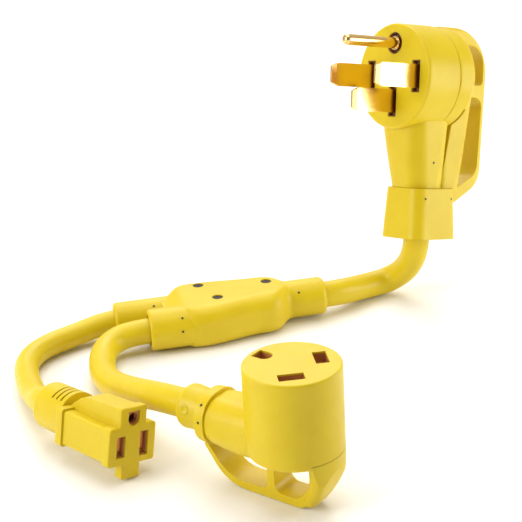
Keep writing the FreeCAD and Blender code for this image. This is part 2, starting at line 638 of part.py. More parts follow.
def build_outlet15():
    """The straight outlet's pieces in its own frame."""
    pitch = OUT15_SLOT_PITCH / 2
    earth_y = OUT15_EARTH_UP
    contact_front = -OUT15_POCKET_DEPTH
    cord_y = OUT15_RELIEF_UP

    def barrel(x, y, start=OUT15_BARREL_START):
        return rod(V(x, y, start), V(x, y, OUT15_BARREL_START - 6), 2.3)

    contacts = {
        "outlet15_line_contact": leaf_contact(-pitch, 0, 90, 6.6, 4.2, contact_front, OUT15_BARREL_START,
                                              barrel(-pitch, 0)),
        "outlet15_neutral_contact": leaf_contact(pitch, 0, 90, 7.8, 4.2, contact_front, OUT15_BARREL_START,
                                                 barrel(pitch, 0)),
        "outlet15_earth_contact": earth_socket(
            0, earth_y, OUT15_SOCKET_R, 2.4, contact_front, OUT15_EARTH_BACK,
            barrel(0, earth_y - 2.2, OUT15_EARTH_BACK)),
    }
    start = OUT15_BARREL_START - 6
    lay = [V(a, cord_y + b, OUT15_CORD_END) for a, b in THREE_LAY]
    wires = {
        "green": tube("outlet15 green wire", [V(0, earth_y - 2.2, start), V(0, 7.4, start - 5), lay[0]],
                      WIRE_DIA),
        "black": tube("outlet15 black wire", [V(-pitch, 0, start), V(-4.2, 0.2, start - 5), lay[1]],
                      WIRE_DIA),
        "white": tube("outlet15 white wire", [V(pitch, 0, start), V(4.2, 0.2, start - 5), lay[2]],
                      WIRE_DIA),
    }
    back = OUT15_CARRIER_BACK
    carrier = joined([block(-10.6, 10.6, -6.4, 6.4, back, -SKIN),
                      block(-4.6, 4.6, 0, earth_y + 3.3, OUT15_EARTH_BACK, -SKIN)])
    contact_room = [turned_block(-pitch, 0, 90, 6.6, 4.2, back, contact_front),
                    turned_block(pitch, 0, 90, 7.8, 4.2, back, contact_front),
                    turned_block(-pitch, 0, 90, 8.6, 3.2, contact_front, 0),
                    turned_block(pitch, 0, 90, 10.2, 3.2, contact_front, 0),
                    Part.makeCylinder(2.5, OUT15_POCKET_DEPTH, V(0, earth_y, contact_front)),
                    Part.makeCylinder(OUT15_SOCKET_R, contact_front - OUT15_EARTH_BACK,
                                      V(0, earth_y, OUT15_EARTH_BACK))]
    pieces = dict(contacts)
    pieces["outlet15_contact_carrier"] = without(carrier, contact_room + list(contacts.values()))

    barrel_shape, grooves = out15_relief()
    slot_width = 4.4
    earth_half = 3.1
    earth_hole = joined([Part.makeCylinder(earth_half, 1 + SKIN, V(0, earth_y, -SKIN)),
                         block(-earth_half, earth_half, earth_y, earth_y + earth_half + 0.2, -SKIN, 1)])
    windows = [block(-pitch - slot_width / 2, -pitch + slot_width / 2, -4.7, 4.7, -SKIN, 1),
               block(pitch - slot_width / 2, pitch + slot_width / 2, -5.5, 5.5, -SKIN, 1),
               earth_hole]
    inside = list(contacts.values()) + list(wires.values()) + [carrier]
    pieces["outlet15_body"] = without(out15_shell(), inside + windows)
    cord_bore = rod(V(0, cord_y, OUT15_CORD_END), V(0, cord_y, -OUT15_RELIEF_END - 1), CORD15_DIA / 2)
    pieces["outlet15_strain_relief"] = without(barrel_shape, grooves + [cord_bore] + list(wires.values()))
    for colour, wire in wires.items():
        pieces["outlet15_%s_wire" % colour] = wire
    return pieces


# ---------------------------------------------------------------- splitter
CRIMP_END_MAIN = 8.0
CRIMP_END_BRANCH = -4.0
SPLIT_CORE_Z = 7.4
SPLIT_PINHOLE_R = 2.9
SPLIT_BOSS_DEPTH = 0.5        # the core's locating bosses end this far below the top
SPLIT_PINHOLES = ((-17.0, 12.5), (-9.9, -6.2), (18.5, 6.2))
# the four joints across the splitter, from front to back
SPLIT_JOINTS = {"black": (-10.0, 2.6), "white": (-2.0, 3.8), "green": (6.0, 3.8), "red": (14.0, 2.6)}


def split_wires():
    """The conductors between the three cords' ends and the crimped joints."""
    def main_end(i):
        a, b = FOUR_LAY[i]
        return V(SPLIT_MAIN_END - CORD_SEAT, SPLIT_MAIN_Y + a, b)

    def front_end(i):
        a, b = THREE_LAY[i]
        return V(SPLIT_FRONT_END + CORD_SEAT, SPLIT_FRONT_Y + a, b)

    def rear_end(i):
        a, b = THREE_LAY[i]
        return V(SPLIT_REAR_END + CORD_SEAT, SPLIT_REAR_Y + a, SPLIT_REAR_Z + b)

    y = {name: place[0] for name, place in SPLIT_JOINTS.items()}
    level = 2.2
    return {
        "black": [rod(V(CRIMP_END_MAIN, y["black"], 0), main_end(2), WIRE_DIA / 2),
                  rod(V(CRIMP_END_BRANCH, y["black"], 0), front_end(1), WIRE_DIA / 2)],
        "white": [rod(V(CRIMP_END_MAIN, y["white"], 0), main_end(1), WIRE_DIA / 2),
                  rod(V(CRIMP_END_BRANCH, y["white"], level), front_end(0), WIRE_DIA / 2),
                  rod(V(CRIMP_END_BRANCH, y["white"], -level), rear_end(1), WIRE_DIA / 2)],
        "green": [rod(V(CRIMP_END_MAIN, y["green"], 0), main_end(3), WIRE_DIA / 2),
                  rod(V(CRIMP_END_BRANCH, y["green"], level), front_end(2), WIRE_DIA / 2),
                  rod(V(CRIMP_END_BRANCH, y["green"], -level), rear_end(0), WIRE_DIA / 2)],
        "red": [rod(V(CRIMP_END_MAIN, y["red"], 0), main_end(0), WIRE_DIA / 2),
                rod(V(CRIMP_END_BRANCH, y["red"], 0), rear_end(2), WIRE_DIA / 2)],
    }


def split_section(x, y_low, y_high, half_height, radius):
    """A rounded rectangle across the splitter."""
    return section_x(x, (y_high - y_low) / 2, half_height, -half_height, radius, (y_high + y_low) / 2)


def eased(value, start, end):
    """0 before start, 1 after end and a smooth step between."""
    share = min(1.0, max(0.0, (value - start) / (end - start)))
    return share * share * (3 - 2 * share)


def splitter_pillow():
    """The flat-topped body, wide over the two branch sleeves and narrow at the main one."""
    stations = 12
    x_left, x_right = -38.0, 30.0
    sections = []
    for i in range(stations):
        x = x_left + (x_right - x_left) * i / (stations - 1)
        rise = eased(x, x_left - 4, -24) * (1 - 0.45 * eased(x, 20, x_right + 4))
        half_height = 5.8 + (SPLIT_THICK / 2 - 5.8) * rise
        y_low = -15.0 - 7.5 * eased(x, x_left + 3, -23) + 6.0 * eased(x, -20, 14)
        y_low += 11.0 * eased(x, 15, x_right + 4)
        y_high = 17.0 + 5.5 * eased(x, x_left, -24) - 3.0 * eased(x, -18, 16)
        y_high -= 6.5 * eased(x, 15, x_right + 2)
        sections.append(split_section(x, y_low, y_high, half_height, min(8.3, half_height - 0.2)))
    return loft(sections)


def sleeve_along_x(x_mouth, x_inner, y, z, radius, ease):
    """A round sleeve with an eased rim at its mouth."""
    main = rod(V(x_inner, y, z), V(x_mouth, y, z), radius)
    return softened(main, ease, lambda edge: isinstance(edge.Curve, Part.Circle)
                    and abs(edge.Curve.Center.x - x_mouth) < 0.01)


def build_splitter():
    """The splitter's pieces in its own frame."""
    half = SPLIT_THICK / 2
    pillow = splitter_pillow()
    main = sleeve_along_x(SPLIT_MAIN_END, 10.0, SPLIT_MAIN_Y, 0, MAIN_SLEEVE_R, 2.8)
    front = sleeve_along_x(SPLIT_FRONT_END, -20.0, SPLIT_FRONT_Y, 0, SLEEVE_R, 1.6)
    rear = sleeve_along_x(SPLIT_REAR_END, -20.0, SPLIT_REAR_Y, SPLIT_REAR_Z, REAR_SLEEVE_R, 1.8)
    above_floor = block(SPLIT_REAR_END - 1, SPLIT_MAIN_END + 1, -40, 40, -SPLIT_AXIS_Z, 40)
    shell = joined([pillow, main, front, rear]).common(above_floor)

    wires = split_wires()
    crimps = [rod(V(CRIMP_END_BRANCH, y, 0), V(CRIMP_END_MAIN, y, 0), radius)
              for y, radius in SPLIT_JOINTS.values()]
    core = block(-22, 13.0, -13.4, 17.4, -SPLIT_CORE_Z, SPLIT_CORE_Z)
    core = softened(core, 2.0, lambda edge: True)
    bridge = block(10, SPLIT_PINHOLES[-1][0] + 4, 2.0, 10.5, -3, SPLIT_CORE_Z)
    bosses = [Part.makeCylinder(SPLIT_PINHOLE_R, half - SPLIT_BOSS_DEPTH - 2, V(x, y, 2))
              for x, y in SPLIT_PINHOLES]
    core = joined([core, bridge] + bosses)
    all_wires = [wire for group in wires.values() for wire in group]
    pinholes = [Part.makeCylinder(SPLIT_PINHOLE_R, half, V(x, y, 2)) for x, y in SPLIT_PINHOLES]
    mouth = 3.0
    bores = [
        rod(V(SPLIT_MAIN_END - CORD_SEAT, SPLIT_MAIN_Y, 0), V(SPLIT_MAIN_END + 1, SPLIT_MAIN_Y, 0),
            MAIN_CORD_DIA / 2),
        rod(V(SPLIT_FRONT_END + CORD_SEAT, SPLIT_FRONT_Y, 0), V(SPLIT_FRONT_END - 1, SPLIT_FRONT_Y, 0),
            CORD30_DIA / 2),
        rod(V(SPLIT_FRONT_END + mouth, SPLIT_FRONT_Y, 0), V(SPLIT_FRONT_END - 1, SPLIT_FRONT_Y, 0),
            CORD30_DIA / 2 + 1.6),
        rod(V(SPLIT_REAR_END + CORD_SEAT, SPLIT_REAR_Y, SPLIT_REAR_Z),
            V(SPLIT_REAR_END - 1, SPLIT_REAR_Y, SPLIT_REAR_Z), CORD15_DIA / 2)]
    pieces = {
        "splitter_body": without(shell, [core] + all_wires + pinholes + bores),
        "splitter_core": without(core, crimps + all_wires),
        "splitter_crimp_barrels": Part.makeCompound(crimps),
    }
    for colour, group in wires.items():
        pieces["splitter_%s_wires" % colour] = Part.makeCompound(group)
    return pieces


# ---------------------------------------------------------------- cords
def in_place(at, x, y, z):
    """A local point as a point of the whole adapter."""
    return at.multVec(V(x, y, z))


def laid(x, y, z):
    """A point given before the middle of the box is taken off."""
    return V(x, y, z) - MIDDLE


MAIN_ROUTE = [
    in_place(PLUG_AT, PLUG_CORD_END, 0, -PLUG_CORD_DEPTH),
    in_place(PLUG_AT, PLUG_COLLAR_END + 4, 0, -PLUG_CORD_DEPTH),
    laid(80.4, 705.2, 18.2),
    laid(70.9, 712.8, 7.8),
    laid(56.9, 707.8, 6.9),
    in_place(SPLIT_AT, SPLIT_MAIN_END + 7, SPLIT_MAIN_Y, 0),
    in_place(SPLIT_AT, SPLIT_MAIN_END - CORD_SEAT, SPLIT_MAIN_Y, 0),
]
CORD30_ROUTE = [
    in_place(SPLIT_AT, SPLIT_FRONT_END + CORD_SEAT, SPLIT_FRONT_Y, 0),
    in_place(SPLIT_AT, SPLIT_FRONT_END - 5, SPLIT_FRONT_Y, 0),
    laid(-76.5, 651.4, 9.2),
    laid(-82.8, 638.6, 7.3),
    laid(-79.6, 609.7, 8.2),
    laid(-67.3, 583.5, 14.5),
    in_place(OUT30_AT, OUT30_SLEEVE_END + 8.7, 0, -OUT30_NECK_DEPTH),
    in_place(OUT30_AT, OUT30_CORD_END, 0, -OUT30_NECK_DEPTH),
]
CORD15_ROUTE = [
    in_place(SPLIT_AT, SPLIT_REAR_END + CORD_SEAT, SPLIT_REAR_Y, SPLIT_REAR_Z),
    in_place(SPLIT_AT, SPLIT_REAR_END - 3, SPLIT_REAR_Y, SPLIT_REAR_Z),
    laid(-97.0, 666.0, 6.9),
    laid(-113.0, 653.5, 6.6),
    laid(-120.6, 637.0, 6.6),
    laid(-117.0, 613.0, 7.4),
    laid(-108.9, 588.5, 10.2),
    in_place(OUT15_AT, 0, OUT15_RELIEF_UP, -OUT15_RELIEF_END - 4),
    in_place(OUT15_AT, 0, OUT15_RELIEF_UP, OUT15_CORD_END),
]


def build_cords():
    """The three cords where they lie."""
    return {
        "main_cord": tube("main cord", MAIN_ROUTE, MAIN_CORD_DIA),
        "cord_30a": tube("30 A cord", CORD30_ROUTE, CORD30_DIA),
        "cord_15a": tube("15 A cord", CORD15_ROUTE, CORD15_DIA),
    }


def main():
    """Builds, places and writes every piece."""
    os.makedirs("parts", exist_ok=True)
    connectors = [(build_plug(), PLUG_AT), (build_outlet30(), OUT30_AT),
                  (build_outlet15(), OUT15_AT), (build_splitter(), SPLIT_AT)]
    box = FreeCAD.BoundBox()
    for pieces, at in connectors:
        for name, shape in pieces.items():
            box.add(save(name, shape, at).optimalBoundingBox(False, False))
    for name, shape in build_cords().items():
        save(name, shape)
    print("box without the cords: middle %.2f %.2f, lowest %.2f, size %.1f %.1f %.1f" % (
        box.Center.x, box.Center.y, box.ZMin, box.XLength, box.YLength, box.ZLength))
    for name, route in (("main", MAIN_ROUTE), ("30 A", CORD30_ROUTE), ("15 A", CORD15_ROUTE)):
        print(name, "route", [tuple(round(v, 1) for v in point) for point in route])


main()
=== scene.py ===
"""Looks for the caravan power adapter with a Y splitter.

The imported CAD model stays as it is. Its pieces get materials here, smooth curves stand in for the three
cords, and small moulding marks are added. Lengths are in metres and in the CAD frame, unless a comment
or a docstring says millimetres.
"""

import json
import math

import bmesh
import bpy
from mathutils import Matrix, Vector


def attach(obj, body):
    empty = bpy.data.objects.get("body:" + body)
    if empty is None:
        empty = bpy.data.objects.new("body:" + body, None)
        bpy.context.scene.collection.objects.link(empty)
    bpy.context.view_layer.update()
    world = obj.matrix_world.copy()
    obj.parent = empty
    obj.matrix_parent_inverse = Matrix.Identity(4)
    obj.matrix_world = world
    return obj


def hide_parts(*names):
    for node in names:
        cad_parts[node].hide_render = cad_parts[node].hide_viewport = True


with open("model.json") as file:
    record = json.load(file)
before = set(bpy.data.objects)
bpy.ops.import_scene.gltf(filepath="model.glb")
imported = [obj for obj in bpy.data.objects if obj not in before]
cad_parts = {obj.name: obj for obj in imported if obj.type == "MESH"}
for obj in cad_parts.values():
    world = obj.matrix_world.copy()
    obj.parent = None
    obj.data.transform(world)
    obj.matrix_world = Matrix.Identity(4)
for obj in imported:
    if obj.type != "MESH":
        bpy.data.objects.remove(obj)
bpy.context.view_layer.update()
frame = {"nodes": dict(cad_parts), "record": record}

MM = 0.001


# ---------------------------------------------------------------- where the connectors are
def local_frame(origin, x_axis, z_axis):
    """The matrix of a connector's own frame, from its origin, X direction and Z direction."""
    z_dir = Vector(z_axis).normalized()
    y_dir = z_dir.cross(Vector(x_axis)).normalized()
    x_dir = y_dir.cross(z_dir)
    matrix = Matrix((x_dir, y_dir, z_dir)).transposed().to_4x4()
    matrix.translation = Vector(origin)
    return matrix


def level_direction(degrees):
    """The horizontal direction at an angle from the X axis."""
    turn = math.radians(degrees)
    return (math.cos(turn), math.sin(turn), 0)


def mount_place(name):
    """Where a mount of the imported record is, and its axis."""
    mount = next(m for m in frame["record"]["mounts"] if m["name"] == name)
    return Vector(mount["pos_m"]), Vector(mount["axis"])


# each connector's own X direction, which a mount doesn't give; the splitter has no mount at all
PLUG_X = (-0.086, -0.275, -0.958)
OUT30_X = level_direction(142)
SPLIT_X = level_direction(11)
SPLIT_ORIGIN = (-0.0257, 0.0591, 0.0112)
UP = (0, 0, 1)

plug_origin, plug_normal = mount_place("plug_face")
out30_origin, out30_normal = mount_place("outlet30_face")
PLUG_AT = local_frame(plug_origin, PLUG_X, plug_normal)
OUT30_AT = local_frame(out30_origin, OUT30_X, out30_normal)
SPLIT_AT = local_frame(SPLIT_ORIGIN, SPLIT_X, UP)


# ---------------------------------------------------------------- camera
CAMERA_PLACE = (-0.0107, -0.6169, 0.3096)
CAMERA_DOWN = 21.9            # degrees below the horizon
CAMERA_ROLL = -3.21           # degrees about the line of sight
FOCAL_IN_WIDTHS = 1400 / 522  # focal length over the picture's width
SENSOR_WIDTH = 36             # millimetres, as is the lens
NEAREST_SEEN = 0.05


def make_camera():
    """The camera at the photograph's viewpoint."""
    data = bpy.data.cameras.new("camera")
    data.sensor_width = SENSOR_WIDTH
    data.lens = FOCAL_IN_WIDTHS * SENSOR_WIDTH
    data.clip_start = NEAREST_SEEN
    camera = bpy.data.objects.new("camera", data)
    bpy.context.collection.objects.link(camera)
    tilt = Matrix.Rotation(math.radians(90 - CAMERA_DOWN), 4, "X")
    roll = Matrix.Rotation(math.radians(CAMERA_ROLL), 4, "Z")
    camera.matrix_world = Matrix.Translation(CAMERA_PLACE) @ (tilt @ roll)
    bpy.context.scene.camera = camera


make_camera()


# ---------------------------------------------------------------- cords
# A curve's bounding box is its points widened by their radius, which is 1 whatever the unit.
# So the cords are built in millimetres and scaled down, and that widening is only 1 mm.
CORD_SMOOTHNESS = 3           # the NURBS order of the middle line
CORD_STEPS = 16               # how finely the middle line is divided
CORD_ROUNDNESS = 10           # how finely the round outline is divided

# diameters and points in millimetres, from the end at the plug or the splitter
MAIN_CORD_DIA = 14.0
MAIN_ROUTE = [
    (74.5, 84.6, 47.9), (73.2, 80.5, 33.6), (69.7, 88.3, 18.2), (60.2, 95.9, 7.8),
    (46.2, 90.9, 6.9), (28.8, 73.4, 11.2), (11.1, 69.9, 11.2),
]
CORD30_DIA = 13.2
CORD30_ROUTE = [
    (-59.3, 40.7, 11.2), (-75.0, 37.7, 11.2), (-87.2, 34.5, 9.2), (-93.5, 21.7, 7.3),
    (-90.3, -7.2, 8.2), (-78.0, -33.4, 14.5), (-52.7, -73.6, 29.0), (-37.2, -85.7, 29.0),
]
CORD15_DIA = 12.0
CORD15_ROUTE = [
    (-78.8, 59.6, 9.4), (-92.5, 56.9, 9.4), (-107.7, 49.1, 6.9), (-123.7, 36.6, 6.6), (-131.3, 20.1, 6.6),
    (-127.7, -3.9, 7.4), (-119.6, -28.4, 10.2), (-112.9, -43.9, 15.7), (-102.5, -54.7, 16.2),
]


def make_cord(name, points, diameter):
    """A round cord on a smooth line, from points and a diameter in millimetres."""
    curve = bpy.data.curves.new(name, "CURVE")
    curve.dimensions = "3D"
    spline = curve.splines.new("NURBS")
    spline.points.add(len(points) - 1)
    for point, place in zip(spline.points, points):
        point.co = (*place, 1)
    spline.order_u = CORD_SMOOTHNESS
    spline.use_endpoint_u = True
    spline.resolution_u = CORD_STEPS
    curve.bevel_depth = diameter / 2
    curve.bevel_resolution = CORD_ROUNDNESS
    cord = bpy.data.objects.new(name, curve)
    bpy.context.collection.objects.link(cord)
    cord.scale = (MM, MM, MM)
    bpy.context.view_layer.update()
    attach(cord, "root")
    return cord


main_cord = make_cord("main_cord_curve", MAIN_ROUTE, MAIN_CORD_DIA)
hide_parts("main_cord")
cord_30a = make_cord("cord_30a_curve", CORD30_ROUTE, CORD30_DIA)
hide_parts("cord_30a")
cord_15a = make_cord("cord_15a_curve", CORD15_ROUTE, CORD15_DIA)
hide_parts("cord_15a")


# ---------------------------------------------------------------- building blocks of the materials
RAMP_START = 0.3              # the part of a noise texture's range that a ramp is spread over
RAMP_END = 0.7
BEVEL_SAMPLES = 6


def new_material(name):
    """A material, its link maker and shader, and a short way to add more nodes to it."""
    material = bpy.data.materials.new(name)
    material.use_nodes = True
    tree = material.node_tree
    shader = tree.nodes["Principled BSDF"]

    def add(kind, **values):
        node = tree.nodes.new(kind)
        for key, value in values.items():
            if key in node.inputs:
                node.inputs[key].default_value = value
            else:
                setattr(node, key, value)
        return node

    return material, tree.links.new, shader, add


def noise(add, link, scale, detail):
    """A noise texture in the object's own units; a higher scale is a finer grain."""
    place = add("ShaderNodeTexCoord")
    texture = add("ShaderNodeTexNoise", Scale=scale, Detail=detail)
    link(place.outputs["Object"], texture.inputs["Vector"])
    return texture.outputs["Fac"]


def ramp(add, link, source, low, high):
    """A change from one colour to another over a texture."""
    node = add("ShaderNodeValToRGB")
    node.color_ramp.elements[0].position = RAMP_START
    node.color_ramp.elements[0].color = (*low, 1)
    node.color_ramp.elements[1].position = RAMP_END
    node.color_ramp.elements[1].color = (*high, 1)
    link(source, node.inputs["Fac"])
    return node.outputs["Color"]


def grey(value):
    """A grey colour."""
    return (value, value, value)


def bumped(add, link, shader, layers, edge_radius=0.0):
    """Bumps from (texture, depth) layers, over edges rounded by edge_radius if there is one."""
    below = None
    if edge_radius:
        bevel = add("ShaderNodeBevel", Radius=edge_radius)
        bevel.samples = BEVEL_SAMPLES
        below = bevel.outputs["Normal"]
    for texture, depth in layers:
        bump = add("ShaderNodeBump", Distance=depth, Strength=1.0)
        link(texture, bump.inputs["Height"])
        if below is not None:
            link(below, bump.inputs["Normal"])
        below = bump.outputs["Normal"]
    link(below, shader.inputs["Normal"])


# ---------------------------------------------------------------- kinds of material
# each grain is (noise scale, detail)
PVC_MOTTLE = (55, 4.0)
PVC_GLOSS_GRAIN = (240, 5.0)
PVC_WAVES = (130, 2.0)
PVC_SKIN = (1500, 3.0)
PVC_WAVE_DEPTH = 0.00010
PVC_GLOSS_CHANGE = 0.12       # how much rougher the dullest spots are than the glossiest
PVC_SCATTER = 0.12            # share of the light that goes into the plastic
PVC_SCATTER_DEPTH = 0.004
PVC_SCATTER_RGB = (1.0, 0.55, 0.08)
PVC_SHINE = 0.32
PVC_EDGE = 0.0007             # how far the look rounds the mouldings' edges
FINE_EDGE = 0.00012           # the same, where two mouldings meet flush

METAL_TARNISH = (60, 2.0)
METAL_SCRATCHES = (1200, 3.0)
METAL_STRETCH = 14.0          # how much longer than wide the scratches are
METAL_GLOSS_CHANGE = 0.08
METAL_SCRATCH_DEPTH = 0.000002
METAL_EDGE = 0.0003

MATTE_MOTTLE = (200, 5.0)
MATTE_GLOSS_GRAIN = (700, 4.0)
MATTE_SKIN = (1800, 3.0)
MATTE_GLOSS_CHANGE = 0.2
MATTE_DEPTH = 0.00003


def pvc(name, low, high, gloss, skin_depth, unit=1.0, edge=PVC_EDGE):
    """Soft glossy PVC: mottled yellow, a fine orange-peel skin and uneven gloss.

    unit is the length of the object's own unit in metres, so that the grain keeps its size.
    """
    material, link, shader, add = new_material(name)

    def grain(size):
        scale, detail = size
        return noise(add, link, scale * unit, detail)

    link(ramp(add, link, grain(PVC_MOTTLE), low, high), shader.inputs["Base Color"])
    dull = grey(gloss + PVC_GLOSS_CHANGE)
    link(ramp(add, link, grain(PVC_GLOSS_GRAIN), grey(gloss), dull), shader.inputs["Roughness"])
    shader.inputs["Subsurface Weight"].default_value = PVC_SCATTER
    shader.inputs["Subsurface Radius"].default_value = PVC_SCATTER_RGB
    shader.inputs["Subsurface Scale"].default_value = PVC_SCATTER_DEPTH
    shader.inputs["Specular IOR Level"].default_value = PVC_SHINE
    waves = (grain(PVC_WAVES), PVC_WAVE_DEPTH)
    skin = (grain(PVC_SKIN), skin_depth)
    bumped(add, link, shader, [waves, skin], edge_radius=edge)
    return material


def metal(name, low, high, gloss, grain_frame):
    """Drawn brass or tinned copper: slight tarnish, and fine scratches along a frame's Z axis."""
    material, link, shader, add = new_material(name)
    link(ramp(add, link, noise(add, link, *METAL_TARNISH), low, high), shader.inputs["Base Color"])
    shader.inputs["Metallic"].default_value = 1.0
    place = add("ShaderNodeTexCoord")
    turned = add("ShaderNodeMapping", vector_type="TEXTURE")
    turned.inputs["Rotation"].default_value = grain_frame.to_euler()
    turned.inputs["Scale"].default_value = (1, 1, METAL_STRETCH)
    link(place.outputs["Object"], turned.inputs["Vector"])
    scale, detail = METAL_SCRATCHES
    texture = add("ShaderNodeTexNoise", Scale=scale, Detail=detail)
    link(turned.outputs["Vector"], texture.inputs["Vector"])
    scratches = texture.outputs["Fac"]
    dull = grey(gloss + METAL_GLOSS_CHANGE)
    link(ramp(add, link, scratches, grey(gloss), dull), shader.inputs["Roughness"])
    bumped(add, link, shader, [(scratches, METAL_SCRATCH_DEPTH)], edge_radius=METAL_EDGE)
    return material


def plain_plastic(name, low, high, gloss):
    """Matte moulded plastic or wire insulation."""
    material, link, shader, add = new_material(name)
    link(ramp(add, link, noise(add, link, *MATTE_MOTTLE), low, high), shader.inputs["Base Color"])
    dull = grey(gloss + MATTE_GLOSS_CHANGE)
    link(ramp(add, link, noise(add, link, *MATTE_GLOSS_GRAIN), grey(gloss), dull),
         shader.inputs["Roughness"])
    bumped(add, link, shader, [(noise(add, link, *MATTE_SKIN), MATTE_DEPTH)])
    return material


# ---------------------------------------------------------------- the materials
# colours are pairs: the darker and the lighter end of the mottling
MOULDING_YELLOW = ((0.64, 0.475, 0.006), (0.685, 0.520, 0.012))
CORD_YELLOW = ((0.65, 0.485, 0.008), (0.69, 0.530, 0.014))
CARRIER_BROWN = ((0.42, 0.16, 0.045), (0.54, 0.23, 0.07))
# the plug's carrier is painted darker: painted shade and a painted reflection of the blades in its pockets
PLUG_CARRIER_SHADE_BROWN = ((0.13, 0.045, 0.014), (0.19, 0.07, 0.02))
# near-black: painted shade, for inside the splitter core's holes and the pin marks
PAINTED_SHADE_BROWN = ((0.016, 0.009, 0.006), (0.03, 0.016, 0.01))
BLADE_BRASS = ((0.90, 0.62, 0.24), (0.94, 0.68, 0.30))
CONTACT_BRASS = ((0.72, 0.36, 0.16), (0.85, 0.48, 0.26))
CRIMP_TIN = ((0.62, 0.60, 0.56), (0.75, 0.73, 0.70))
WIRE_RED = ((0.50, 0.02, 0.015), (0.62, 0.04, 0.03))
WIRE_BLACK = ((0.015, 0.015, 0.015), (0.03, 0.03, 0.03))
WIRE_WHITE = ((0.75, 0.75, 0.72), (0.85, 0.85, 0.82))
WIRE_GREEN = ((0.02, 0.22, 0.05), (0.03, 0.30, 0.08))

# a gloss is a material's lowest roughness, so a smaller number is shinier
MOULDING_GLOSS = 0.33
CORD_GLOSS = 0.30
CARRIER_GLOSS = 0.45
PLUG_CARRIER_GLOSS = 0.5
CORE_GLOSS = 0.55
BLADE_GLOSS = 0.16
CONTACT_GLOSS = 0.28
CRIMP_GLOSS = 0.30
WIRE_GLOSS = 0.4

# how deep the orange-peel skin is
MOULDING_SKIN = 0.000010
CORD_SKIN = 0.000006

MATERIALS = {
    "yellow_moulding": pvc("yellow_moulding_look", *MOULDING_YELLOW, MOULDING_GLOSS, MOULDING_SKIN),
    "cord_jacket": pvc("cord_jacket_look", *CORD_YELLOW, CORD_GLOSS, CORD_SKIN, unit=MM),
    "carrier": plain_plastic("carrier_look", *CARRIER_BROWN, CARRIER_GLOSS),
    "brass_blade": metal("brass_blade_look", *BLADE_BRASS, BLADE_GLOSS, PLUG_AT),
    "brass_contact": metal("brass_contact_look", *CONTACT_BRASS, CONTACT_GLOSS, OUT30_AT),
    "crimp_metal": metal("crimp_metal_look", *CRIMP_TIN, CRIMP_GLOSS, SPLIT_AT),
    "red_wire": plain_plastic("red_wire_look", *WIRE_RED, WIRE_GLOSS),
    "black_wire": plain_plastic("black_wire_look", *WIRE_BLACK, WIRE_GLOSS),
    "white_wire": plain_plastic("white_wire_look", *WIRE_WHITE, WIRE_GLOSS),
    "green_wire": plain_plastic("green_wire_look", *WIRE_GREEN, WIRE_GLOSS),
}
# a near-black look that is painted shade, for the splitter's core and the pin marks' discs
painted_shade_look = plain_plastic("painted_shade_look", *PAINTED_SHADE_BROWN, CORE_GLOSS)

# pieces whose look differs from their slot's: the splitter's core is near-black, painted shade for inside
# its holes, the plug's carrier is darker, painted shade and a painted reflection of the blades, and the
# round outlet's two mouldings have sharper edges, so that the seam between them shows less
OWN_LOOKS = {
    "splitter_core": painted_shade_look,
    "plug_blade_carrier": plain_plastic("plug_carrier_shade_look", *PLUG_CARRIER_SHADE_BROWN, PLUG_CARRIER_GLOSS),
}
for node_name in ("outlet30_body", "outlet30_handle"):
    OWN_LOOKS[node_name] = pvc(
        node_name + "_look", *MOULDING_YELLOW, MOULDING_GLOSS, MOULDING_SKIN, edge=FINE_EDGE)


def dress(obj, slot):
    """Gives an object the material of a record slot."""
    obj.data.materials.clear()
    obj.data.materials.append(MATERIALS[slot])


for entry in frame["record"]["subparts"]:
    dress(frame["nodes"][entry["node"]], entry["material_slot"])
for node_name, look in OWN_LOOKS.items():
    frame["nodes"][node_name].data.materials[0] = look
for cord in (main_cord, cord_30a, cord_15a):
    dress(cord, "cord_jacket")


# ---------------------------------------------------------------- moulding marks
SIDES_ROUND = 28


def turned_piece(name, profile, place, normal, slot):
    """A small turned piece on a surface; profile has (radius, height) pairs in mm, from the rim inwards."""
    lie = normal.to_track_quat("Z", "Y").to_matrix()
    mesh = bpy.data.meshes.new(name)
    build = bmesh.new()
    rings = []
    for radius, height in profile:
        ring = []
        for i in range(SIDES_ROUND):
            turn = 2 * math.pi * i / SIDES_ROUND
            spot = Vector((radius * math.cos(turn), radius * math.sin(turn), height)) * MM
            ring.append(build.verts.new(place + lie @ spot))
        rings.append(ring)
    for outer, inner in zip(rings, rings[1:]):
        for i in range(SIDES_ROUND):
            j = (i + 1) % SIDES_ROUND
            build.faces.new((outer[i], outer[j], inner[j], inner[i]))
    build.faces.new(rings[-1])
    for face in build.faces:
        face.smooth = True
    build.to_mesh(mesh)
    build.free()
    piece = bpy.data.objects.new(name, mesh)
    bpy.context.collection.objects.link(piece)
    dress(piece, slot)
    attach(piece, "root")
    return piece


def surface_point(node_name, local, start, direction):
    """Where a line in a connector's own frame, in mm, first meets a CAD piece, and the normal there."""
    node = frame["nodes"][node_name]
    back = node.matrix_world.inverted()
    begin = back @ (local @ (Vector(start) * MM))
    heading = (back.to_3x3() @ (local.to_3x3() @ Vector(direction))).normalized()
    hit, place, normal, _ = node.ray_cast(begin, heading)
    if not hit:
        raise ValueError("no surface of %s at %s" % (node_name, start))
    return node.matrix_world @ place, (node.matrix_world.to_3x3() @ normal).normalized()


# profiles in mm: a locating-pin mark has a raised lip and a dark disc of painted shade where its floor
# would be, because no hole is cut, and the gate ring is what an injection gate leaves
PIT_LIP = [(1.05, -0.05), (0.9, 0.07), (0.7, 0.10), (0.55, 0.04), (0.5, 0.0)]
PIT_SHADE_DISC = [(0.68, 0.02), (0.6, 0.12), (0.3, 0.11)]
GATE_RING = [(2.1, -0.05), (1.95, 0.14), (1.7, 0.20), (1.45, 0.14), (1.3, 0.02)]

# directions in a connector's own frame
TO_MINUS_Y = (0, -1, 0)
TO_PLUS_Y = (0, 1, 0)
DOWN = (0, 0, -1)

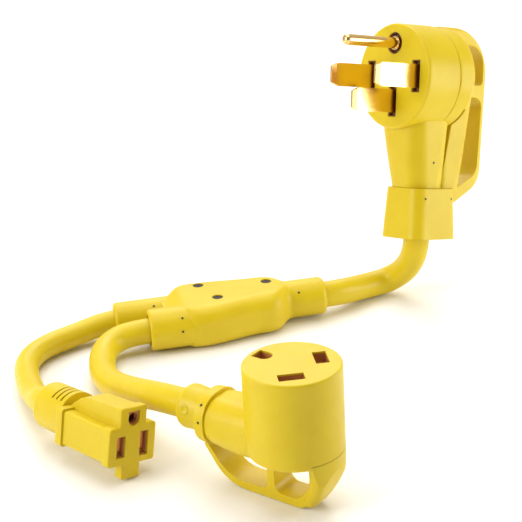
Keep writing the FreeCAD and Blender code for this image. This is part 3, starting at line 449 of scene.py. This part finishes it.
# (name, node, frame, start of the line in mm, its direction) in each connector's own frame
PITS = [
    ("pit_plug_neck", "plug_body", PLUG_AT, (44.3, 40, -18.8), TO_MINUS_Y),
    ("pit_plug_collar_front", "plug_handle", PLUG_AT, (63.2, 40, -13.7), TO_MINUS_Y),
    ("pit_plug_collar_back", "plug_handle", PLUG_AT, (63.4, 40, -32.6), TO_MINUS_Y),
    ("pit_outlet30_ring_high", "outlet30_handle", OUT30_AT, (41.2, 40, -26.0), TO_MINUS_Y),
    ("pit_outlet30_ring_low", "outlet30_handle", OUT30_AT, (41.2, 40, -33.0), TO_MINUS_Y),
    ("pit_main_sleeve", "splitter_body", SPLIT_AT, (33.9, -40, 6.5), TO_PLUS_Y),
    ("pit_rear_sleeve", "splitter_body", SPLIT_AT, (-42.2, 5.2, 40), DOWN),
    ("pit_front_sleeve_high", "splitter_body", SPLIT_AT, (-30.8, -40, 7.6), TO_PLUS_Y),
    ("pit_front_sleeve_low", "splitter_body", SPLIT_AT, (-31.4, -40, 1.5), TO_PLUS_Y),
]
for name, node_name, local, start, direction in PITS:
    place, normal = surface_point(node_name, local, start, direction)
    turned_piece(name + "_lip", PIT_LIP, place, normal, "yellow_moulding")
    pit_shade_disc = turned_piece(name + "_painted_shade", PIT_SHADE_DISC, place, normal, "carrier")
    # the near-black disc is painted shade inside the pin mark
    pit_shade_disc.data.materials[0] = painted_shade_look
place, normal = surface_point("outlet30_strain_relief", OUT30_AT, (51.2, 40, -31.0), TO_MINUS_Y)
turned_piece("gate_ring_outlet30_sleeve", GATE_RING, place, normal, "yellow_moulding")


# ---------------------------------------------------------------- floor and light
FLOOR_HALF = 3.0
FLOOR_GRAIN = (6, 3.0)
FLOOR_GREYS = (grey(0.93), grey(0.96))
FLOOR_ROUGHNESS = 0.6
FLOOR_SHINE = 0.2


def make_floor():
    """A plain pale floor."""
    corners = [(-FLOOR_HALF, -FLOOR_HALF, 0), (FLOOR_HALF, -FLOOR_HALF, 0),
               (FLOOR_HALF, FLOOR_HALF, 0), (-FLOOR_HALF, FLOOR_HALF, 0)]
    mesh = bpy.data.meshes.new("floor")
    mesh.from_pydata(corners, [], [(0, 1, 2, 3)])
    floor = bpy.data.objects.new("floor", mesh)
    bpy.context.collection.objects.link(floor)
    material, link, shader, add = new_material("floor_look")
    link(ramp(add, link, noise(add, link, *FLOOR_GRAIN), *FLOOR_GREYS), shader.inputs["Base Color"])
    shader.inputs["Roughness"].default_value = FLOOR_ROUGHNESS
    shader.inputs["Specular IOR Level"].default_value = FLOOR_SHINE
    floor.data.materials.append(material)


def make_light(name, place, target, size, watts):
    """A square soft light that points at a target."""
    data = bpy.data.lights.new(name, "AREA")
    data.size = size
    data.energy = watts
    light = bpy.data.objects.new(name, data)
    light.location = place
    light.rotation_mode = "QUATERNION"
    light.rotation_quaternion = (Vector(target) - Vector(place)).to_track_quat("-Z", "Y")
    bpy.context.collection.objects.link(light)


def make_world(front, back, colour):
    """Soft light from all round, with one strength on the front side (-Y) and another at the back."""
    world = bpy.data.worlds.new("studio")
    world.use_nodes = True
    nodes, link = world.node_tree.nodes, world.node_tree.links.new
    place = nodes.new("ShaderNodeTexCoord")
    split = nodes.new("ShaderNodeSeparateXYZ")
    fade = nodes.new("ShaderNodeMapRange")
    for name, value in (("From Min", -1), ("From Max", 1), ("To Min", front), ("To Max", back)):
        fade.inputs[name].default_value = value
    background = nodes["Background"]
    background.inputs["Color"].default_value = (*colour, 1)
    link(place.outputs["Generated"], split.inputs["Vector"])
    link(split.outputs["Y"], fade.inputs["Value"])
    link(fade.outputs["Result"], background.inputs["Strength"])
    bpy.context.scene.world = world


OBJECT_MIDDLE = (0, 0, 0.05)
PLUG_MIDDLE = (0.06, 0.085, 0.125)
FAR_FLOOR = (0, 1.5, 0)
WARM_WHITE = (1.0, 0.90, 0.76)

# (name, place, target, size, watts)
LIGHTS = [
    ("overhead", (0.0, 0.15, 1.3), OBJECT_MIDDLE, 1.2, 9.8),
    ("key", (-0.95, -0.35, 0.5), OBJECT_MIDDLE, 0.6, 7.5),
    ("floor_wash", (0.0, 1.8, 1.5), FAR_FLOOR, 1.6, 26.0),
    ("side_card", (0.50, 0.0, 0.13), PLUG_MIDDLE, 0.3, 1.3),
]

make_floor()
make_world(front=0.22, back=0.74, colour=WARM_WHITE)
for light in LIGHTS:
    make_light(*light)
bpy.context.scene.view_settings.view_transform = "Standard"
